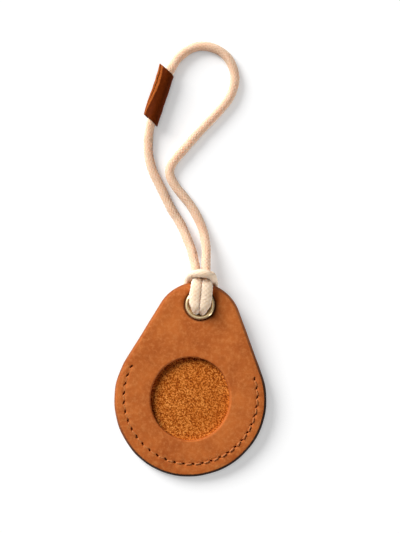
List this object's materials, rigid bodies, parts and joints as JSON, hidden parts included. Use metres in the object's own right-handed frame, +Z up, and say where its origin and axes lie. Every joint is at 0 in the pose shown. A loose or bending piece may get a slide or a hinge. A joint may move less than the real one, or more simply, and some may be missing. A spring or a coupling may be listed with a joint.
{
  "type": "tracker tag holder",
  "caption": "Leather holder for a coin-shaped tracker, with a round window, a sewn pocket, an eyelet and a cotton cord loop.",
  "frame": {"origin": "on the table, under the middle of the leather's outline", "axes": "+Z up off the table and out of the front face, +Y along the holder from its round end to the cord, +X to the right seen from the front"},
  "size_m": [0.0506, 0.1437, 0.0131],
  "materials": {
    "tan_leather": "matt pull-up grain, suede flesh side",
    "brown_leather": "smooth dark grain with raw tan edges",
    "waxed_thread": "waxed",
    "cotton_cord": "braided, matt",
    "antique_brass": "aged satin"
  },
  "bodies": {
    "holder": {"front_panel": "tan_leather", "back_panel": "tan_leather", "seam_thread": "waxed_thread", "eyelet": "antique_brass", "eyelet_washer": "antique_brass", "cord_knot": "cotton_cord"},
    "loop": {"cord_right": "cotton_cord", "cord_left": "cotton_cord", "cord_sleeve": "brown_leather"}
  },
  "joints": [
    {"name": "loop_swing", "type": "hinge", "parent": "holder", "child": "loop", "pos_m": [-0.00095, 0.03734, 0.00674], "axis": [1, 0, 0], "range_deg": [-90, 90]}
  ]
}
